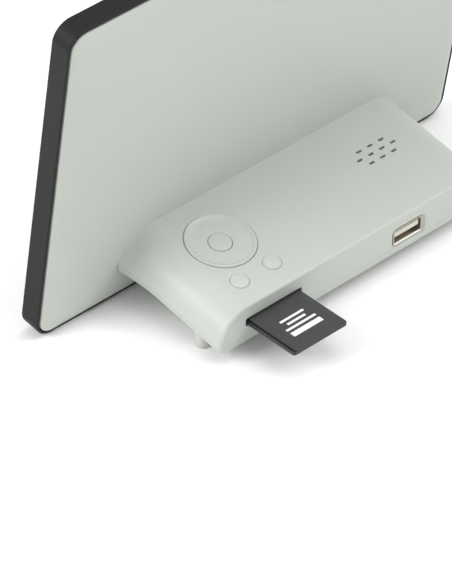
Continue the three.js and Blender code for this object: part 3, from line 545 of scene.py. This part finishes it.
for number in (1, 2, 3, 4):
    screw = shown[f"rail_screw_{number}"]
    spots = np.array([screw.matrix_world @ vertex.co for vertex in screw.data.vertices])
    x = (spots[:, 0].min() + spots[:, 0].max()) / 2
    up = (spots[:, 1] - junction[0]) * math.sin(lean) + (spots[:, 2] - junction[1]) * math.cos(lean)
    z = (up.min() + up.max()) / 2
    for radius, start, end, operation in (
            (post_radius, face_rear - post_sunk, post_end, "UNION"),
            (pilot_radius, face_rear - pilot_sunk, far, "DIFFERENCE")):
        across, upward = x + radius * np.cos(circle), z + radius * np.sin(circle)
        rings = [np.column_stack([across, np.full(post_sides, y), upward]) for y in (start, end)]
        combine(bezel, skinned("post", tilted(lean, np.array(rings))), operation)
charcoal_abs = moulded_plastic("charcoal_satin_abs", "1a1a1b", 0.55, 0.3 * mm, 0.004 * mm, shine=0.22)
finished(bezel, "frame_body", charcoal_abs)
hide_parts("front_bezel")

# Direction ring, centre button and two keys: smooth moulded ABS caps held by flanges under the housing's
# wall. The ring's face is dished and the button lies low inside it; each presses a switch below.
face_depth = 1.0 * mm
flange_thickness, dome, pole_radius = 0.6 * mm, 0.12 * mm, 0.02 * mm


def smooth_step(distance, soft):
    """1 inside a shape and 0 outside, turning smoothly across a soft edge."""
    t = np.clip(0.5 - distance / soft, 0, 1)
    return t * t * (3 - 2 * t)


def triangle_distance(x, y, size, heading):
    """Distance from the edge of an equilateral triangle that points along a heading; negative inside."""
    sides = [heading + math.pi + k * 2 * math.pi / 3 for k in range(3)]
    return np.max([x * math.cos(a) + y * math.sin(a) - size / 2 for a in sides], axis=0)


def turned_cap(x, y, profile, marks, around, fine_rings):
    """A profile of (radius, height) turned about the housing's normal, its face raised or sunk by marks."""
    profile = np.asarray(profile, float)
    lengths = np.concatenate([[0], np.cumsum(np.hypot(*np.diff(profile, axis=0).T))])
    stops = np.unique(np.concatenate([lengths, np.linspace(0, lengths[-1], fine_rings)]))
    radius = np.interp(stops, lengths, profile[:, 0])
    height = np.interp(stops, lengths, profile[:, 1])
    angle = np.linspace(0, 2 * math.pi, around, endpoint=False)
    px = radius[:, None] * np.cos(angle)
    py = radius[:, None] * np.sin(angle)
    on_face = (height > -face_depth)[:, None]
    pz = height[:, None] + np.where(on_face, marks(px, py), 0)
    return np.stack([px + x, py + y, pz], axis=-1)


def ring_marks(px, py):
    """Four small raised arrowheads, one for each direction."""
    raised = np.zeros_like(px)
    from_middle, size, soft, height = 8.7 * mm, 0.75 * mm, 0.25 * mm, 0.18 * mm
    for heading in np.arange(4) * math.pi / 2:
        cx, cy = from_middle * math.cos(heading), from_middle * math.sin(heading)
        raised += smooth_step(triangle_distance(px - cx, py - cy, size, heading), soft)
    return height * raised


def play_marks(px, py):
    """A small arrowhead beside an upright bar, sunk into the centre button."""
    arrow_shift, arrow_size, soft, depth = 0.9 * mm, 0.7 * mm, 0.2 * mm, 0.2 * mm
    bar_shift, half_width, half_length = 1.1 * mm, 0.22 * mm, 0.8 * mm
    arrow = smooth_step(triangle_distance(px + arrow_shift, py, arrow_size, 0), soft)
    bar = smooth_step(np.maximum(np.abs(px - bar_shift) - half_width, np.abs(py) - half_length), soft)
    return -depth * (arrow + bar)


def bar_marks(px, py):
    """Three short raised bars for the menu key."""
    half_length, half_width, pitch = 0.9 * mm, 0.12 * mm, 0.6 * mm
    soft, height = 0.15 * mm, 0.12 * mm
    raised = np.zeros_like(px)
    for row in (-1, 0, 1):
        bar = np.maximum(np.abs(px) - half_length, np.abs(py - row * pitch) - half_width)
        raised += smooth_step(bar, soft)
    return height * raised


def arrow_mark(px, py):
    """One raised arrowhead for the back key."""
    size, soft, height = 0.8 * mm, 0.2 * mm, 0.12 * mm
    return height * smooth_step(triangle_distance(px, py, size, math.pi), soft)


key_abs = moulded_plastic("smooth_key_abs", "bbc0b9", 0.42, 0.5 * mm, 0.002 * mm, 0.01)
ring_hole = 4.2 * mm
skirt = -2.9 * mm
ring_flange = 0.9 * mm
recess_width, recess_depth = 1.5 * mm, 1 * mm
ring_profile = [
    (ring_hole + recess_width, skirt), (ring_radius + ring_flange, skirt),
    (ring_radius + ring_flange, skirt + flange_thickness), (ring_radius, skirt + flange_thickness),
    (ring_radius, 0.1 * mm), (ring_radius - 0.12 * mm, 0.3 * mm), (ring_radius - 0.4 * mm, 0.4 * mm),
    (ring_radius - 0.8 * mm, 0.34 * mm), (ring_radius - 1.3 * mm, 0.05 * mm),
    (ring_radius - 2.0 * mm, -0.18 * mm), (ring_radius - 3.5 * mm, -0.38 * mm),
    (ring_hole + 1.2 * mm, -0.5 * mm), (ring_hole + 0.3 * mm, -0.55 * mm), (ring_hole, -0.75 * mm),
    (ring_hole, skirt + recess_depth), (ring_hole + recess_width, skirt + recess_depth)]
rings = turned_cap(ring_x, ring_y, ring_profile, ring_marks, 300, 110)
direction_ring = closed_frame("direction_ring_cap", on_top(rings))
finished(direction_ring, "direction_ring", key_abs)
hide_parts("direction_ring")


def button(name, node, x, y, radius, flange, round_edge, marks, base, top):
    """A round cap with a flange below the housing's wall and a rounded, slightly domed top."""
    turn_angles = np.linspace(0, math.pi / 2, 7)
    profile = [(pole_radius, base), (radius + flange, base)]
    profile += [(radius + flange, base + flange_thickness), (radius, base + flange_thickness)]
    profile += [
        (radius - round_edge * (1 - math.cos(a)), top - round_edge * (1 - math.sin(a)))
        for a in turn_angles]
    profile += [(pole_radius, top + dome)]
    made = skinned(name, on_top(turned_cap(x, y, profile, marks, 96, 60)))
    finished(made, node, key_abs)
    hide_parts(node)


button(
    "ok_button_cap", "ok_button", ring_x, ring_y, radius=4.05 * mm, flange=1.3 * mm, round_edge=0.4 * mm,
    marks=play_marks, base=-2.8 * mm, top=-0.4 * mm)
for node, side, marks in (("back_button", -1, arrow_mark), ("menu_button", 1, bar_marks)):
    key_x = ring_x + side * key_pitch / 2
    button(
        f"{node}_cap", node, key_x, key_y, radius=key_radius, flange=0.75 * mm, round_edge=0.6 * mm,
        marks=marks, base=-2.7 * mm, top=0.4 * mm)

# Memory card: two dark polycarbonate halves welded together, stepped along both sides so that it
# runs in the socket's rails. A label with a few plain bars lies in a shallow recess on top.
card_low, card_high = (np.array(corner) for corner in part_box("memory_card"))
card_half = (card_high[0] - card_low[0]) / 2
card_x = (card_high[0] + card_low[0]) / 2
rail_height, rail_width, rail_edge = 1.4 * mm, 0.75 * mm, 0.1 * mm
cut_corner, card_corner = 4 * mm, 1 * mm
card_edge, edge_middle = 0.2 * mm, 0.06 * mm
label_border, label_recess = 1.2 * mm, 0.1 * mm


def card_ring(inset, z, side_step=0.0):
    """The card's outline, one corner cut off, inset all round and stepped in at its sides."""
    left, right = card_x - card_half + inset + side_step, card_x + card_half - inset - side_step
    near, outer = card_low[1] + inset, card_high[1] - inset
    round_x, round_y = right - card_corner, outer - card_corner
    arc = np.linspace(0, math.pi / 2, 8)
    loop = [(left + cut_corner, near), (right, near)]
    loop += [(round_x + card_corner * math.cos(a), round_y + card_corner * math.sin(a)) for a in arc]
    round_x = left + card_corner
    loop += [(round_x - card_corner * math.sin(a), round_y + card_corner * math.cos(a)) for a in arc]
    loop += [(left, near + cut_corner)]
    return np.column_stack([np.array(loop), np.full(len(loop), z)])


bottom, top = card_low[2], card_high[2]
rail_top = bottom + rail_height
stack = [card_ring(inset, z, side_step) for inset, z, side_step in (
    (card_edge, bottom, 0), (edge_middle, bottom + edge_middle, 0), (0, bottom + card_edge, 0),
    (0, rail_top - rail_edge, 0), (rail_edge, rail_top, 0), (0, rail_top, rail_width),
    (0, top - card_edge, rail_width), (edge_middle, top - edge_middle, rail_width),
    (card_edge, top, rail_width), (label_border, top, rail_width),
    (label_border + label_recess, top - label_recess, rail_width))]
card = skinned("memory_card_body", stack)

card_finish = moulded_plastic("card_polycarbonate", "1b1b1d", 0.45, 0.25 * mm, 0.003 * mm)
tree = card_finish.node_tree
place = add(tree, "ShaderNodeTexCoord").outputs["Object"]
shader = next(n for n in tree.nodes if n.type == "BSDF_PRINCIPLED")
plain_tone = shader.inputs["Base Color"].links[0].from_socket
axes = add(tree, "ShaderNodeSeparateXYZ", [(0, place)])


def within(axis, low, high):
    """A node socket that is 1 between two places along an axis and 0 elsewhere."""
    above = add(tree, "ShaderNodeMath", [(0, axes.outputs[axis])], operation="GREATER_THAN")
    above.inputs[1].default_value = low
    under = add(tree, "ShaderNodeMath", [(0, axes.outputs[axis])], operation="LESS_THAN")
    under.inputs[1].default_value = high
    sides = [(0, above.outputs[0]), (1, under.outputs[0])]
    return add(tree, "ShaderNodeMath", sides, operation="MULTIPLY").outputs[0]


face_below, face_above = 0.15 * mm, 1 * mm
on_face = within("Z", top - face_below, top + face_above)
label = add(tree, "ShaderNodeMix", [(0, on_face), (colour_a, plain_tone)], data_type="RGBA")
label.inputs[colour_b].default_value = linear("373739")
printed = None
print_margin = 5.5 * mm
print_edge = card_high[1] - print_margin
for start, length, half_width in ((0, 2.2, 6.5), (3.4, 1.0, 6.5), (5.6, 1.0, 4.0), (7.8, 1.0, 5.2)):
    high = print_edge - start * mm
    across = within("X", card_x - half_width * mm, card_x + half_width * mm)
    along = within("Y", high - length * mm, high)
    bar = add(tree, "ShaderNodeMath", [(0, across), (1, along)], operation="MULTIPLY").outputs[0]
    if printed:
        bar = add(tree, "ShaderNodeMath", [(0, printed), (1, bar)], operation="MAXIMUM").outputs[0]
    printed = bar
printed = add(tree, "ShaderNodeMath", [(0, printed), (1, on_face)], operation="MULTIPLY").outputs[0]
ink_links = [(0, printed), (colour_a, label.outputs[colour_out])]
ink = add(tree, "ShaderNodeMix", ink_links, data_type="RGBA")
ink.inputs[colour_b].default_value = linear("e6e6e6")
tree.links.new(ink.outputs[colour_out], shader.inputs["Base Color"])
finished(card, "memory_card", card_finish)
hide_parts("memory_card")

# USB socket: a folded shell of nickel-plated steel with soft corners, whose lower side turns out into
# a lip that guides the plug. It is soldered to the board and looks out through the cover.


def plated_metal(name, hex_colour, roughness, brush):
    """Plated sheet metal with fine draw lines along its length."""
    material, tree, output = blank_material(name)
    place = add(tree, "ShaderNodeTexCoord").outputs["Object"]
    stretch = add(tree, "ShaderNodeMapping", [("Vector", place)])
    drawn_out = 0.08
    stretch.inputs["Scale"].default_value = (1 / brush, drawn_out / brush, 1 / brush)
    lines = add(tree, "ShaderNodeTexNoise", [("Vector", stretch.outputs[0])], Scale=1.0, Detail=2.0)
    rough = add(tree, "ShaderNodeMapRange", [("Value", lines.outputs["Fac"])])
    smoother, rougher = 0.06, 0.08
    rough.inputs["To Min"].default_value = roughness - smoother
    rough.inputs["To Max"].default_value = roughness + rougher
    bump = add(tree, "ShaderNodeBump", [("Height", lines.outputs["Fac"])], Strength=0.6, Distance=0.003 * mm)
    inputs = [("Roughness", rough.outputs[0]), ("Normal", bump.outputs[0])]
    shader = add(tree, "ShaderNodeBsdfPrincipled", inputs, Metallic=1.0)
    shader.inputs["Base Color"].default_value = linear(hex_colour)
    tree.links.new(shader.outputs[0], output.inputs[0])
    return material


usb_low, usb_high = (np.array(corner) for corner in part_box("usb_shell"))
usb_width, usb_height = usb_high[0] - usb_low[0], usb_high[2] - usb_low[2]
usb_middle = np.array([(usb_low[0] + usb_high[0]) / 2, (usb_low[2] + usb_high[2]) / 2])
sheet, shell_corner = 0.3 * mm, 0.6 * mm


def usb_ring(inset, y, drop=0.0):
    """A loop round the USB shell, inset from its outside, with its lower side bent down by a drop."""
    loop, _ = rounded_loop(usb_width - 2 * inset, usb_height - 2 * inset, shell_corner - inset, 6)
    lowered = usb_middle[1] - np.where(loop[:, 1] < 0, drop, 0)
    return np.column_stack([loop[:, 0] + usb_middle[0], np.full(len(loop), y), loop[:, 1] + lowered])


lip_length, lip_drop = 0.8 * mm, 0.3 * mm
lip_steps = [(usb_high[1] - lip_length * (1 - share), lip_drop * share ** 2) for share in (0, 0.4, 0.7, 1)]
usb_profile = [usb_ring(0, usb_low[1])] + [usb_ring(0, y, drop) for y, drop in lip_steps]
usb_profile += [usb_ring(sheet, y, drop) for y, drop in reversed(lip_steps)] + [usb_ring(sheet, usb_low[1])]
usb_shell = closed_frame("usb_socket_shell", np.array(usb_profile))
nickel = plated_metal("nickel_plated_shell", "cfccc3", 0.32, 0.12 * mm)
finished(usb_shell, "frame_body", nickel)
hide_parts("usb_shell")

# Rear feet: soft grey rubber buttons pushed into the housing's floor. Their tops follow the floor.
foot_rubber = moulded_plastic("grey_foot_rubber", "bfc0bb", 0.8, 0.35 * mm, 0.01 * mm)
foot_sides = 48
for node in ("rear_foot_left", "rear_foot_right"):
    low, high = (np.array(corner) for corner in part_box(node))
    radius = (high[0] - low[0]) / 2
    centre = (low[:2] + high[:2]) / 2
    angle = np.linspace(0, 2 * math.pi, foot_sides, endpoint=False)
    stack = []
    for share, z in ((0.80, 0.0), (0.93, 0.1 * mm), (0.99, 0.35 * mm), (1.0, 0.7 * mm)):
        x, y = centre[0] + radius * share * np.cos(angle), centre[1] + radius * share * np.sin(angle)
        stack.append(np.column_stack([x, y, np.full(foot_sides, z)]))
    x, y = centre[0] + radius * np.cos(angle), centre[1] + radius * np.sin(angle)
    top = high[2] - (y - (centre[1] - radius)) * math.tan(slope)
    stack.append(np.column_stack([x, y, top]))
    foot = skinned(f"{node}_rubber", np.array(stack))
    finished(foot, "frame_body", foot_rubber)
    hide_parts(node)

# Everything else keeps its modelled shape: the screen stack and its rails, the boards with their
# switches and chips, the speaker, the sockets' inner parts, the leads and the screws.
finishes = {
    "screen_glass": moulded_plastic("polished_screen_glass", "101316", 0.06, 2.0 * mm, 0.0005 * mm, 0.01),
    "light_guide": moulded_plastic("clear_acrylic_edge", "e8ecec", 0.12, 2.0 * mm, 0.0005 * mm),
    "zinc_steel": plated_metal("zinc_plated_steel", "9ea2a6", 0.36, 0.2 * mm),
    "steel": plated_metal("plated_screw_steel", "b8babc", 0.3, 0.15 * mm),
    "nickel": nickel,
    "circuit_board": moulded_plastic("green_solder_mask", "1f5a38", 0.35, 0.6 * mm, 0.02 * mm, 0.15),
    "black_plastic": moulded_plastic("black_glass_filled_nylon", "1c1c1e", 0.55, 0.2 * mm, 0.01 * mm, 0.08),
    "red_plastic": moulded_plastic("red_lead_insulation", "a02018", 0.45, 0.3 * mm, 0.003 * mm),
    "beige_plastic": moulded_plastic("beige_nylon", "d3cdbd", 0.5, 0.3 * mm, 0.004 * mm),
    "foot_rubber": foot_rubber,
    "foam": moulded_plastic("closed_cell_foam", "2a2c2a", 0.95, 0.4 * mm, 0.08 * mm, 0.2),
    "paper_cone": moulded_plastic("treated_paper", "3a3d38", 0.9, 0.25 * mm, 0.03 * mm, 0.15),
    "ribbon_film": moulded_plastic("polyester_ribbon", "c2c6c8", 0.3, 1.0 * mm, 0.004 * mm),
}
for part in frame["record"]["subparts"]:
    node = shown[part["node"]]
    if part["material_slot"] in finishes and not node.hide_render:
        if not node.material_slots:
            node.data.materials.append(finishes[part["material_slot"]])
        node.material_slots[0].material = finishes[part["material_slot"]]
